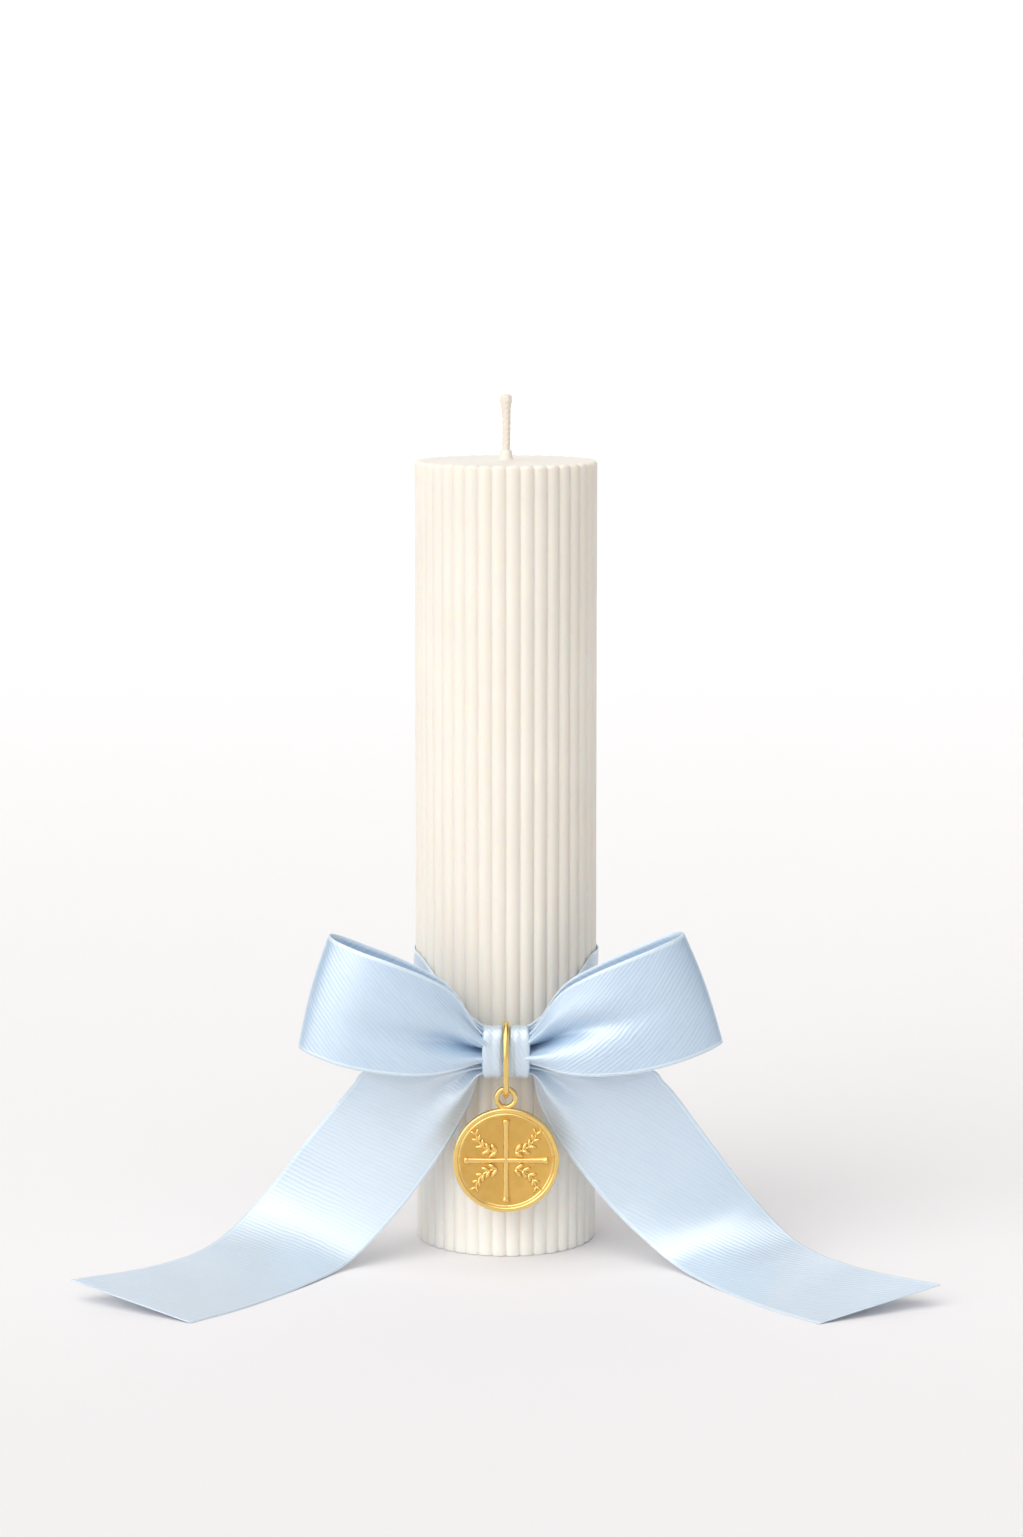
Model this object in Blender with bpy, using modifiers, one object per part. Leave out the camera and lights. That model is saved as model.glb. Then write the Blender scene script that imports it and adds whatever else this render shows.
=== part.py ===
"""A unity candle: a fluted wax pillar with a cotton wick and a steel wick tab, a wide satin
ribbon tied round it in a bow, and a medallion that hangs from an oval ring round the knot.

Metres, +Z up. The origin is on the candle's axis, in the plane of its base. The front,
where the bow is, faces -Y."""

import math

import bmesh
import bpy
from mathutils import Matrix, Vector

MM = 0.001
GAP = 0.3 * MM  # between pieces that touch

# Candle
CANDLE_R = 30 * MM  # over the crests of the flutes
CANDLE_H = 260 * MM
FLUTES = 40
FLUTE_DEPTH = 1.1 * MM
FLUTE_ARC = 0.96  # half width of a reed as a share of its arc's radius: 1 is a half circle
BASE_CHAMFER = 0.8 * MM
TOP_ROUND = 1.2 * MM
COLLAR_H = 3.4 * MM  # the cone of wax that clings to the wick
COLLAR_WALL = 0.5 * MM
COLLAR_SPREAD = 1.0 * MM

# Wick and the steel tab that holds its foot
WICK_R = 1.25 * MM
WICK_HEAD_R = 1.7 * MM
WICK_STANDS = 21.5 * MM  # above the top of the wax
TAB_R = 8 * MM
TAB_SHEET = 0.6 * MM
TAB_NECK_R = 2.3 * MM
TAB_NECK_H = 5 * MM
TAB_Z = 4 * MM  # wax left under the tab
BORE_FIT = 0.25 * MM

# Ribbon
RIBBON_W = 38 * MM
RIBBON_T = 0.8 * MM
BAND_Z = 79 * MM  # middle of the band at the candle's sides and back
BAND_SWEEP = math.radians(75)  # from the front, where the band reaches its full width
GATHERED = 0.42  # half of the band's width at the knot, as a share of the knot's height

# Bow knot, an upright pad wrapped round the gathered ribbon
KNOT_Z = 71.3 * MM
KNOT_W = 16.8 * MM
KNOT_H = 16.8 * MM
KNOT_D = 9 * MM
KNOT_WAIST = 0.93  # the ring pinches the middle of the knot to this share of its size
WAIST_REACH = 0.6  # the share of the knot's half width that the pinch spreads over
KNOT_SHOULDER = 0.12  # how far the knot rounds in at its two ends, as a share of its size
WIRE_ROOM = 4.4 * MM  # from the band to the back of the knot, where the ring passes

# Each row of a loop gives the ribbon's upper edge, then its lower edge, in mm: outwards from
# the side of the knot, forwards and upwards from its middle. The rows run from the back of
# the knot out to the fold, and return along the front.
LEFT_LOOP = (
    ((0, -2.5, 6.5), (0, -2.5, -2)),
    ((10, -6, 20.5), (10, -6, -7)),
    ((23, -7, 28), (24, -7, -7)),
    ((36, -6.5, 33.5), (40, -7, -6)),
    ((46, -4.5, 37.5), (53, -5, -2)),
    ((48.5, -1, 38.3), (58.5, -1, 1.5)),
    ((46, 3.5, 37), (54, 4, -0.5)),
    ((38, 8, 34.3), (44, 8.5, -3)),
    ((28, 10, 31), (32, 10, -5)),
    ((17.5, 9, 26.5), (20, 9.5, -6)),
    ((8.5, 6, 20.5), (10, 7, -5.5)),
    ((0, 2.5, 7.5), (0, 2.5, -2.5)),
)
RIGHT_LOOP = (
    ((0, -2.5, 6.5), (0, -2.5, -2)),
    ((10, -6, 20.5), (10, -6, -7)),
    ((22, -7, 27.5), (24, -7, -7)),
    ((36, -6.5, 34), (40, -7, -5)),
    ((46, -4.5, 38.3), (55, -5, 0)),
    ((48.7, -1, 39), (61.5, -1, 3)),
    ((46, 3.5, 37.8), (56, 4, 0.8)),
    ((38, 8, 35), (46, 8.5, -2)),
    ((28, 10, 31.2), (33, 10, -4.8)),
    ((17.5, 9, 26.3), (20, 9.5, -6)),
    ((8.5, 6, 20), (10, 7, -5.6)),
    ((0, 2.5, 7.5), (0, 2.5, -2.7)),
)

# Each row of a tail gives the ribbon's inner edge, then its outer edge: mm outwards from the
# side of the knot, mm forwards from its middle, and the share of the drop to the floor.
LEFT_TAIL = (
    ((0, -2, 0.885), (0, -1, 0.94)),
    ((3, -4.5, 0.74), (20, -1, 0.945)),
    ((8, -5, 0.6), (37, -1, 0.91)),
    ((16, -4.5, 0.43), (46, -7, 0.74)),
    ((27, -2, 0.23), (56, -7, 0.56)),
    ((42.5, 5.5, 0.03), (72, -7.5, 0.27)),
    ((57, 27, 0), (87, 6, 0.11)),
    ((73, 49, 0), (104, 28, 0.1)),
    ((89, 66, 0), (128, 47, 0.115)),
)
RIGHT_TAIL = (
    ((0, -2, 0.885), (0, -1, 0.94)),
    ((2, -4.5, 0.74), (21, -1, 0.945)),
    ((6.5, -5, 0.6), (38, 0, 0.915)),
    ((17, -4, 0.4), (47.5, -3, 0.78)),
    ((29, -1.5, 0.21), (58.5, -5, 0.55)),
    ((45, 7, 0.035), (72.5, -6, 0.285)),
    ((57.5, 26.5, 0), (87, 3, 0.105)),
    ((73, 50, 0), (103.5, 32.5, 0.11)),
    ((88, 67, 0), (127, 52, 0.115)),
)
TAIL_LIFT = 0.6 * MM  # middle of the ribbon's thickness where it lies on the floor

# Oval ring round the knot
WIRE_R = 1 * MM
RING_FIT = 1.1 * MM  # between the ring and the front and back of the knot
RING_DROP = 5 * MM  # from under the knot to the inside of the ring's foot

# Medallion
MEDAL_R = 17.3 * MM
MEDAL_T = 1.5 * MM
RIM_W = 1.9 * MM
RIM_T = 2.6 * MM
EYELET_R = 3.05 * MM  # to the middle of its wire
EYELET_WIRE_R = 0.9 * MM
EYELET_FIT = 0.15 * MM  # under the top of the eyelet, where it hangs on the ring
CROSS_SPAN = 13.8 * MM  # from the middle to the end of an arm
CROSS_HALF = 0.85 * MM
CROSS_FLARE = 1.25 * MM
FLARE_FROM = 0.82  # the share of an arm where its end starts to flare
RELIEF = 0.7 * MM
BEAD_R = 1.9 * MM
BEAD_OUT = 7.6 * MM  # of the four beads, along the diagonals of the cross

BAND_R = CANDLE_R + GAP
KNOT_Y = -(BAND_R + RIBBON_T + WIRE_ROOM + KNOT_D / 2)
RING_TOP_Z = KNOT_Z + KNOT_WAIST * KNOT_H / 2 + GAP  # inside of the ring, over the knot
RING_FOOT_Z = KNOT_Z - KNOT_H / 2 - RING_DROP
EYELET_PIVOT_Z = RING_FOOT_Z + EYELET_FIT + EYELET_WIRE_R
EYELET_Z = EYELET_PIVOT_Z - EYELET_R
MEDAL_Z = EYELET_Z - EYELET_R - MEDAL_R - 0.25 * EYELET_WIRE_R

IVORY = (0.88, 0.83, 0.74, 1)
COTTON = (0.84, 0.78, 0.68, 1)
STEEL = (0.62, 0.62, 0.62, 1)
BABY_BLUE = (0.55, 0.70, 0.86, 1)
GOLD = (0.83, 0.58, 0.20, 1)


def clear_scene():
    for obj in list(bpy.data.objects):
        bpy.data.objects.remove(obj, do_unlink=True)


def new_collection(name):
    collection = bpy.data.collections.new(name)
    bpy.context.scene.collection.children.link(collection)
    return collection


def new_material(name, colour, roughness, metallic=0.0):
    material = bpy.data.materials.new(name)
    material.use_nodes = True
    shader = material.node_tree.nodes["Principled BSDF"]
    shader.inputs["Base Color"].default_value = colour
    shader.inputs["Roughness"].default_value = roughness
    shader.inputs["Metallic"].default_value = metallic
    material.diffuse_color = colour
    return material


def new_object(name, mesh, collection, material):
    obj = bpy.data.objects.new(name, mesh)
    collection.objects.link(obj)
    mesh.materials.append(material)
    mesh.shade_smooth()
    return obj


def mesh_of(bm, name):
    bmesh.ops.recalc_face_normals(bm, faces=bm.faces)
    mesh = bpy.data.meshes.new(name)
    bm.to_mesh(mesh)
    bm.free()
    return mesh


def as_cutter(obj):
    obj.hide_render = True
    obj.display_type = "WIRE"


def combine(obj, other, operation):
    modifier = obj.modifiers.new(other.name, "BOOLEAN")
    modifier.operation = operation
    modifier.object = other
    as_cutter(other)


def turned(name, profile, steps, collection, material):
    """A solid of revolution about the object's Z, from (radius, height) points, top to bottom."""
    mesh = bpy.data.meshes.new(name)
    points = [(radius, 0, height) for radius, height in profile]
    edges = [(i, i + 1) for i in range(len(points) - 1)]
    mesh.from_pydata(points, edges, [])
    obj = new_object(name, mesh, collection, material)
    screw = obj.modifiers.new("Turn", "SCREW")
    screw.steps = screw.render_steps = steps
    screw.use_merge_vertices = True
    screw.merge_threshold = 1e-6
    screw.use_smooth_shade = True
    return obj


def through_points(rows, samples):
    """Points on a smooth Catmull-Rom curve through rows, samples to each span."""
    path = [2 * rows[0] - rows[1], *rows, 2 * rows[-1] - rows[-2]]
    points = []
    for a, b, c, d in zip(path, path[1:], path[2:], path[3:]):
        for i in range(samples):
            t = i / samples
            bend = 2 * a - 5 * b + 4 * c - d
            twist = 3 * b - 3 * c + d - a
            points.append(0.5 * (2 * b + (c - a) * t + bend * t * t + twist * t**3))
    return [*points, rows[-1]]


def ribbon(name, first_edge, second_edge, closed, collection, material):
    """A strip between two edges of equal count, made solid to the ribbon's thickness."""
    across = 4
    bm = bmesh.new()
    grid = [
        [bm.verts.new(a.lerp(b, i / across)) for i in range(across + 1)]
        for a, b in zip(first_edge, second_edge)
    ]
    if closed:
        grid.append(grid[0])
    for row, after in zip(grid, grid[1:]):
        for i in range(across):
            bm.faces.new((row[i], row[i + 1], after[i + 1], after[i]))
    obj = new_object(name, mesh_of(bm, name), collection, material)
    wall = obj.modifiers.new("Wall", "SOLIDIFY")
    wall.thickness = RIBBON_T
    wall.offset = 0
    return obj


def flute_radius(angle):
    """The candle's radius at an angle: round reeds that meet in narrow grooves."""
    across = (angle * FLUTES / math.tau) % 1 * 2 - 1
    fall = 1 - math.sqrt(1 - (FLUTE_ARC * across) ** 2)
    return CANDLE_R - FLUTE_DEPTH * fall / (1 - math.sqrt(1 - FLUTE_ARC**2))


def ring_of_points(bm, radii, height):
    """Vertices round the Z axis at one height, from the front (-Y), one for each radius."""
    angles = (math.tau * i / len(radii) for i in range(len(radii)))
    return [bm.verts.new((r * math.sin(a), -r * math.cos(a), height)) for r, a in zip(radii, angles)]


def candle_body(collection, cutters, material):
    bore_r = WICK_R + BORE_FIT
    per_flute = 8
    count = FLUTES * per_flute
    outline = [flute_radius(math.tau * i / count) for i in range(count)]
    rings = (  # height, and how far the outline is drawn in
        (0, BASE_CHAMFER),
        (BASE_CHAMFER, 0),
        (CANDLE_H - TOP_ROUND, 0),
        (CANDLE_H - 0.3 * TOP_ROUND, 0.3 * TOP_ROUND),
        (CANDLE_H, TOP_ROUND),
    )
    collar_rings = (  # radius and height, from inside the flutes up the cone of wax
        (CANDLE_R - FLUTE_DEPTH - TOP_ROUND, CANDLE_H),
        (bore_r + COLLAR_WALL + COLLAR_SPREAD, CANDLE_H),
        (bore_r + COLLAR_WALL + 0.25 * COLLAR_SPREAD, CANDLE_H + 0.35 * COLLAR_H),
        (bore_r + COLLAR_WALL, CANDLE_H + COLLAR_H),
    )
    bm = bmesh.new()
    walls = [ring_of_points(bm, [r - drawn_in for r in outline], z) for z, drawn_in in rings]
    collar = [ring_of_points(bm, [r] * FLUTES, z) for r, z in collar_rings]
    for low, high in [*zip(walls, walls[1:]), *zip(collar, collar[1:])]:
        for i in range(len(low)):
            j = (i + 1) % len(low)
            bm.faces.new((low[i], low[j], high[j], high[i]))
    for f in range(FLUTES):  # a fan from each flute's outline to one side of the collar's first ring
        edge = [walls[-1][(f * per_flute + k) % count] for k in range(per_flute + 1)]
        bm.faces.new((*edge, collar[0][(f + 1) % FLUTES], collar[0][f]))
    bm.faces.new(walls[0])
    bm.faces.new(collar[-1])
    body = new_object("candle_body", mesh_of(bm, "candle_body"), collection, material)
    body.data.set_sharp_from_angle(angle=math.radians(50))

    tab_top = TAB_Z + TAB_SHEET + GAP
    neck_top = TAB_Z + TAB_NECK_H + GAP
    bore = (
        (0, CANDLE_H + 2 * COLLAR_H),
        (bore_r, CANDLE_H + 2 * COLLAR_H),
        (bore_r, neck_top),
        (TAB_NECK_R + GAP, neck_top),
        (TAB_NECK_R + GAP, tab_top),
        (TAB_R + GAP, tab_top),
        (TAB_R + GAP, TAB_Z - GAP),
        (0, TAB_Z - GAP),
    )
    combine(body, turned("wick_bore", bore, 24, cutters, material), "DIFFERENCE")


def wick_tab(collection, material):
    hole = WICK_R + BORE_FIT
    profile = (
        (hole, TAB_Z + TAB_NECK_H),
        (TAB_NECK_R, TAB_Z + TAB_NECK_H),
        (TAB_NECK_R, TAB_Z + TAB_SHEET),
        (TAB_R, TAB_Z + TAB_SHEET),
        (TAB_R, TAB_Z),
        (hole, TAB_Z),
        (hole, TAB_Z + TAB_NECK_H),
    )
    tab = turned("wick_tab", profile, 24, collection, material)
    tab.data.set_sharp_from_angle(angle=math.radians(30))


def wick(collection, material):
    top = CANDLE_H + WICK_STANDS
    head = WICK_HEAD_R / WICK_R
    rows = (  # sideways, height, thickness
        (0, TAB_Z + GAP, 1),
        (0, CANDLE_H, 1),
        (0, CANDLE_H + COLLAR_H, 1),
        (0.2 * MM, CANDLE_H + 0.55 * WICK_STANDS, 0.95),
        (0, top - 3.2 * WICK_HEAD_R, 1),
        (-0.2 * MM, top - 1.8 * WICK_HEAD_R, head),
        (-0.3 * MM, top - 0.5 * WICK_HEAD_R, head),
        (-0.3 * MM, top, 0.55 * head),
    )
    curve = bpy.data.curves.new("wick", "CURVE")
    curve.dimensions = "3D"
    curve.bevel_depth = WICK_R
    curve.bevel_resolution = 4
    curve.use_fill_caps = True
    spline = curve.splines.new("POLY")
    spline.points.add(len(rows) - 1)
    for point, (side, height, thickness) in zip(spline.points, rows):
        point.co = (side, 0, height, 1)
        point.radius = thickness
    obj = bpy.data.objects.new("wick", curve)
    collection.objects.link(obj)
    curve.materials.append(material)


def ribbon_band(parent, collection, material):
    """The turn of ribbon round the candle, gathered narrow where it enters the knot."""
    count = 72
    upper, lower = [], []
    for i in range(count):
        angle = math.tau * i / count
        from_front = min(angle, math.tau - angle)
        t = min(1, from_front / BAND_SWEEP)
        open_share = t * t * (3 - 2 * t)
        radius = BAND_R + RIBBON_T / 2
        x, y = radius * math.sin(angle), -radius * math.cos(angle)
        narrow = GATHERED * KNOT_H
        top = KNOT_Z + narrow + open_share * (BAND_Z + RIBBON_W / 2 - KNOT_Z - narrow)
        foot = KNOT_Z - narrow + open_share * (BAND_Z - RIBBON_W / 2 - KNOT_Z + narrow)
        upper.append(Vector((x, y, top)))
        lower.append(Vector((x, y, foot)))
    band = ribbon("ribbon_band", lower, upper, True, collection, material)
    band.parent = parent


def bow_knot(parent, collection, material):
    profile = [(0, KNOT_W / 2)]
    steps = 14
    for i in range(steps + 1):
        along = 1 - 2 * i / steps
        pinch = 0.5 + 0.5 * math.cos(math.pi * min(1, abs(along) / WAIST_REACH))
        waist = 1 - (1 - KNOT_WAIST) * pinch
        shoulder = 1 - KNOT_SHOULDER * abs(along) ** 6
        profile.append((waist * shoulder * KNOT_H / 2, along * KNOT_W / 2))
    profile.append((0, -KNOT_W / 2))
    knot = turned("bow_knot", profile, 32, collection, material)
    knot.scale = (1, KNOT_D / KNOT_H, 1)
    knot.rotation_euler = (0, math.pi / 2, 0)
    knot.location = (0, KNOT_Y, KNOT_Z)
    knot.parent = parent


def bow_loop(name, side, rows, parent, collection, material):
    def place(out, forward, up):
        return Vector((side * (KNOT_W / 2 + GAP + out * MM), KNOT_Y - forward * MM, KNOT_Z + up * MM))

    upper = through_points([place(*first) for first, _ in rows], 4)
    lower = through_points([place(*second) for _, second in rows], 4)
    loop = ribbon(name, upper, lower, False, collection, material)
    loop.parent = parent


def bow_tail(name, side, rows, parent, collection, material):
    def place(out, forward, drop):
        height = TAIL_LIFT + drop * (KNOT_Z - TAIL_LIFT)
        return Vector((side * (KNOT_W / 2 + GAP + out * MM), KNOT_Y - forward * MM, height))

    inner = through_points([place(*first) for first, _ in rows], 4)
    outer = through_points([place(*second) for _, second in rows], 4)
    for point in inner + outer:
        point.z = max(point.z, TAIL_LIFT)
    tail = ribbon(name, inner, outer, False, collection, material)
    tail.parent = parent


def bail_ring(parent, collection, material):
    """An oval of round wire in the YZ plane, which hangs on the waist of the knot."""
    half_height = (RING_TOP_Z - RING_FOOT_Z) / 2 + WIRE_R
    half_depth = KNOT_D / 2 + RING_FIT + WIRE_R
    curve = bpy.data.curves.new("bail_ring", "CURVE")
    curve.dimensions = "3D"
    curve.bevel_depth = WIRE_R
    curve.bevel_resolution = 4
    spline = curve.splines.new("POLY")
    count = 48
    spline.points.add(count - 1)
    for i, point in enumerate(spline.points):
        angle = math.tau * i / count
        height = half_height * math.cos(angle) - half_height + WIRE_R
        point.co = (0, half_depth * math.sin(angle), height, 1)
    spline.use_cyclic_u = True
    ring = bpy.data.objects.new("bail_ring", curve)
    ring.location = (0, KNOT_Y, RING_TOP_Z)
    ring.parent = parent
    collection.objects.link(ring)
    curve.materials.append(material)


def cross_relief(cutters, material):
    """A raised cross with flared ends, as one outline pushed out of the disc's face."""
    arm = (  # across and along one arm, ending in the corner it shares with the next
        (-CROSS_HALF, FLARE_FROM * CROSS_SPAN),
        (-CROSS_FLARE, CROSS_SPAN),
        (CROSS_FLARE, CROSS_SPAN),
        (CROSS_HALF, FLARE_FROM * CROSS_SPAN),
        (CROSS_HALF, CROSS_HALF),
    )
    outline = []
    for quarter in range(4):
        turn = Matrix.Rotation(-quarter * math.pi / 2, 2)
        outline += [turn @ Vector(point) for point in arm]
    bm = bmesh.new()
    face = bm.faces.new([bm.verts.new((x, 0, z)) for x, z in outline])
    grown = bmesh.ops.extrude_face_region(bm, geom=[face])["geom"]
    lifted = [v for v in grown if isinstance(v, bmesh.types.BMVert)]
    bmesh.ops.translate(bm, vec=(0, -(MEDAL_T / 2 + RELIEF), 0), verts=lifted)
    return new_object("cross_relief", mesh_of(bm, "cross_relief"), cutters, material)


def bead(index, cutters, material):
    """One of the four plain beads between the arms of the cross."""
    angle = math.pi / 4 + index * math.pi / 2
    bm = bmesh.new()
    bmesh.ops.create_uvsphere(bm, u_segments=16, v_segments=8, radius=BEAD_R)
    flat = (MEDAL_T / 2 + RELIEF) / BEAD_R
    bmesh.ops.scale(bm, vec=(1, flat, 1), verts=bm.verts)
    place = (BEAD_OUT * math.sqrt(2) * math.sin(angle), 0, BEAD_OUT * math.sqrt(2) * math.cos(angle))
    bmesh.ops.translate(bm, vec=place, verts=bm.verts)
    return new_object(f"bead_{index}", mesh_of(bm, f"bead_{index}"), cutters, material)


def medallion(parent, collection, cutters, material):
    rim_in = MEDAL_R - RIM_W
    profile = (
        (0, MEDAL_T / 2),
        (rim_in - 0.3 * RIM_W, MEDAL_T / 2),
        (rim_in, RIM_T / 2 - 0.1 * RIM_W),
        (MEDAL_R - 0.5 * RIM_W, RIM_T / 2),
        (MEDAL_R - 0.15 * RIM_W, 0.35 * RIM_T),
        (MEDAL_R, 0),
        (MEDAL_R - 0.15 * RIM_W, -0.35 * RIM_T),
        (MEDAL_R - 0.5 * RIM_W, -RIM_T / 2),
        (rim_in, -RIM_T / 2 + 0.1 * RIM_W),
        (rim_in - 0.3 * RIM_W, -MEDAL_T / 2),
        (0, -MEDAL_T / 2),
    )
    disc = turned("medallion", profile, 64, collection, material)
    disc.rotation_euler = (math.pi / 2, 0, 0)
    disc.location = (0, 0, MEDAL_Z - EYELET_PIVOT_Z)
    disc.parent = parent

    bpy.ops.mesh.primitive_torus_add(
        major_radius=EYELET_R,
        minor_radius=EYELET_WIRE_R,
        major_segments=32,
        minor_segments=12,
        location=(0, 0, EYELET_Z - EYELET_PIVOT_Z),
        rotation=(math.pi / 2, 0, 0),
    )
    eyelet = bpy.context.object
    eyelet.name = "eyelet"
    for holder in list(eyelet.users_collection):
        holder.objects.unlink(eyelet)
    cutters.objects.link(eyelet)
    reliefs = [cross_relief(cutters, material), *(bead(i, cutters, material) for i in range(4))]
    for relief in reliefs:
        relief.location = disc.location
    for piece in (eyelet, *reliefs):
        piece.parent = parent
        combine(disc, piece, "UNION")


def joint_empty(name, location, parent, collection):
    empty = bpy.data.objects.new(name, None)
    empty.empty_display_size = 10 * MM
    collection.objects.link(empty)
    empty.location = location
    empty.parent = parent
    return empty


def main():
    clear_scene()
    parts = new_collection("unity_candle")
    cutters = new_collection("cutters")
    joints = new_collection("joints")

    wax = new_material("ivory_wax", IVORY, 0.45)
    cotton = new_material("wick_cotton", COTTON, 0.9)
    steel = new_material("tinned_steel", STEEL, 0.35, 1.0)
    satin = new_material("blue_satin", BABY_BLUE, 0.35)
    gold = new_material("gold_plate", GOLD, 0.28, 1.0)

    candle_body(parts, cutters, wax)
    wick_tab(parts, steel)
    wick(parts, cotton)

    slide = joint_empty("ribbon_slide_axis", (0, 0, 0), None, joints)
    ribbon_band(slide, parts, satin)
    bow_knot(slide, parts, satin)
    bow_loop("bow_loop_left", -1, LEFT_LOOP, slide, parts, satin)
    bow_loop("bow_loop_right", 1, RIGHT_LOOP, slide, parts, satin)
    bow_tail("bow_tail_left", -1, LEFT_TAIL, slide, parts, satin)
    bow_tail("bow_tail_right", 1, RIGHT_TAIL, slide, parts, satin)

    bail_ring(slide, parts, gold)
    lift = joint_empty("medallion_lift_axis", (0, KNOT_Y, EYELET_PIVOT_Z), slide, joints)
    medallion(lift, parts, cutters, gold)


main()
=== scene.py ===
import math

import bmesh
import bpy
import numpy as np
from mathutils import Matrix, Vector


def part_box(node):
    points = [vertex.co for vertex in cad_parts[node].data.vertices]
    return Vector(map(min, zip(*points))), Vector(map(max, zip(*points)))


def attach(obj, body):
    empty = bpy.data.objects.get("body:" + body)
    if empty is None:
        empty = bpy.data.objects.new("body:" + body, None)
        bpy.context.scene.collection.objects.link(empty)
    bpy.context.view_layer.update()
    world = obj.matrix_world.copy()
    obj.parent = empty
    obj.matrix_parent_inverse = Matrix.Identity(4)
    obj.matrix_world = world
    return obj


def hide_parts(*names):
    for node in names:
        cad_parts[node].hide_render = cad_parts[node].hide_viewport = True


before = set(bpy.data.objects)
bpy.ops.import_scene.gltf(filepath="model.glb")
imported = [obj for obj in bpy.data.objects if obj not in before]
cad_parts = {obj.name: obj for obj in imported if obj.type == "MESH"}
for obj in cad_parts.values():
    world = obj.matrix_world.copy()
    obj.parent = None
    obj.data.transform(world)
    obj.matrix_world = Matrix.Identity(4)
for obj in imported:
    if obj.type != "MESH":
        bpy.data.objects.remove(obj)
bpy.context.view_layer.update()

# ---------------------------------------------------------------------------------------
# The pillar: ivory wax poured in a fluted mould, so forty soft reeds run its whole height
# and stop at a rounded rim. It is turned as a plain column here, and a node tree presses
# the grooves between the reeds into it.
MM = 0.001
pillar_foot, pillar_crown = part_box("candle_body")
REEDS = 40
REED_DEPTH = 0.85 * MM
REED_ROUND = 0.8
RIM_ROUND = 1.1 * MM
REED_DOME = 0.7  # how far a groove falls at the rim, as a share of its depth
FOOT_ROUND = 0.8 * MM
CONE_H = 3.4 * MM
pillar_r = (pillar_crown.x - pillar_foot.x) / 2 / math.cos(math.pi / REEDS) * 0.9995
pillar_top = pillar_crown.z - CONE_H


def add(tree, kind, inputs=(), **settings):
    """One node of a tree, with its settings, and its inputs as sockets or values."""
    made = tree.nodes.new(kind)
    for key, value in settings.items():
        setattr(made, key, value)
    for key, value in dict(inputs).items():
        if isinstance(value, bpy.types.NodeSocket):
            tree.links.new(value, made.inputs[key])
        else:
            made.inputs[key].default_value = value
    return made


def maths(tree, operation, first, second=0.0):
    return add(tree, "ShaderNodeMath", {0: first, 1: second}, operation=operation).outputs[0]


def blank_material(name):
    """A material with its node tree, its shader and each point's place on the object."""
    material = bpy.data.materials.new(name)
    material.use_nodes = True
    tree = material.node_tree
    return material, tree, tree.nodes["Principled BSDF"], add(tree, "ShaderNodeTexCoord").outputs["Object"]


def set_sockets(shader, values):
    for socket, value in values.items():
        shader.inputs[socket].default_value = value


def two_tone(tree, share, first, second, start=0.0, stop=1.0):
    """A colour that runs from the first to the second as a share goes from start to stop."""
    ramp = add(tree, "ShaderNodeValToRGB", {0: share})
    for i, (place, colour) in enumerate(((start, first), (stop, second))):
        ramp.color_ramp.elements[i].position = place
        ramp.color_ramp.elements[i].color = (*colour, 1)
    return ramp.outputs[0]


def shape_tree(name, sizes):
    """An empty geometry tree whose inputs are a shape and named sizes, with its two end nodes."""
    tree = bpy.data.node_groups.new(name, "GeometryNodeTree")
    tree.interface.new_socket("Shape", in_out="INPUT", socket_type="NodeSocketGeometry")
    for size, kind in sizes.items():
        tree.interface.new_socket(size, in_out="INPUT", socket_type="NodeSocket" + kind)
    tree.interface.new_socket("Shape", in_out="OUTPUT", socket_type="NodeSocketGeometry")
    return tree, tree.nodes.new("NodeGroupInput"), tree.nodes.new("NodeGroupOutput")


def finish_tree(tree, end, shape, material):
    """Ends a tree with plain, smooth geometry in one material."""
    plain = add(tree, "GeometryNodeRealizeInstances", {0: shape}).outputs[0]
    smooth = add(tree, "GeometryNodeSetShadeSmooth", {"Geometry": plain}).outputs[0]
    painted = add(tree, "GeometryNodeSetMaterial", {"Geometry": smooth, "Material": material})
    tree.links.new(painted.outputs[0], end.inputs[0])


def grown(name, tree, seed_mesh, **sizes):
    """The plain mesh object that a tree makes of a seed mesh at these sizes."""
    seed = bpy.data.objects.new(name + "_seed", seed_mesh)
    bpy.context.scene.collection.objects.link(seed)
    modifier = seed.modifiers.new("Grow", "NODES")
    modifier.node_group = tree
    for socket in tree.interface.items_tree:
        if socket.in_out == "INPUT" and socket.name in sizes:
            modifier[socket.identifier] = sizes[socket.name]
    bpy.context.view_layer.update()
    graph = bpy.context.evaluated_depsgraph_get()
    mesh = bpy.data.meshes.new_from_object(seed.evaluated_get(graph), depsgraph=graph)
    bpy.data.objects.remove(seed)
    return placed(name, mesh)


def placed(name, mesh):
    obj = bpy.data.objects.new(name, mesh)
    bpy.context.scene.collection.objects.link(obj)
    return obj


def lathe(name, profile, steps):
    """A closed mesh turned about Z from (radius, height) points that start and end on the axis."""
    bm = bmesh.new()
    rings = []
    for radius, height in profile:
        count = 1 if radius == 0 else steps
        rings.append([
            bm.verts.new((radius * math.sin(a), -radius * math.cos(a), height))
            for a in (math.tau * i / steps for i in range(count))
        ])
    for low, high in zip(rings, rings[1:]):
        for i in range(steps):
            j = (i + 1) % steps
            corners = [low[i % len(low)], low[j % len(low)], high[j % len(high)], high[i % len(high)]]
            bm.faces.new(list(dict.fromkeys(corners)))
    bmesh.ops.recalc_face_normals(bm, faces=bm.faces)
    mesh = bpy.data.meshes.new(name)
    bm.to_mesh(mesh)
    bm.free()
    mesh.shade_smooth()
    return mesh


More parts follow.
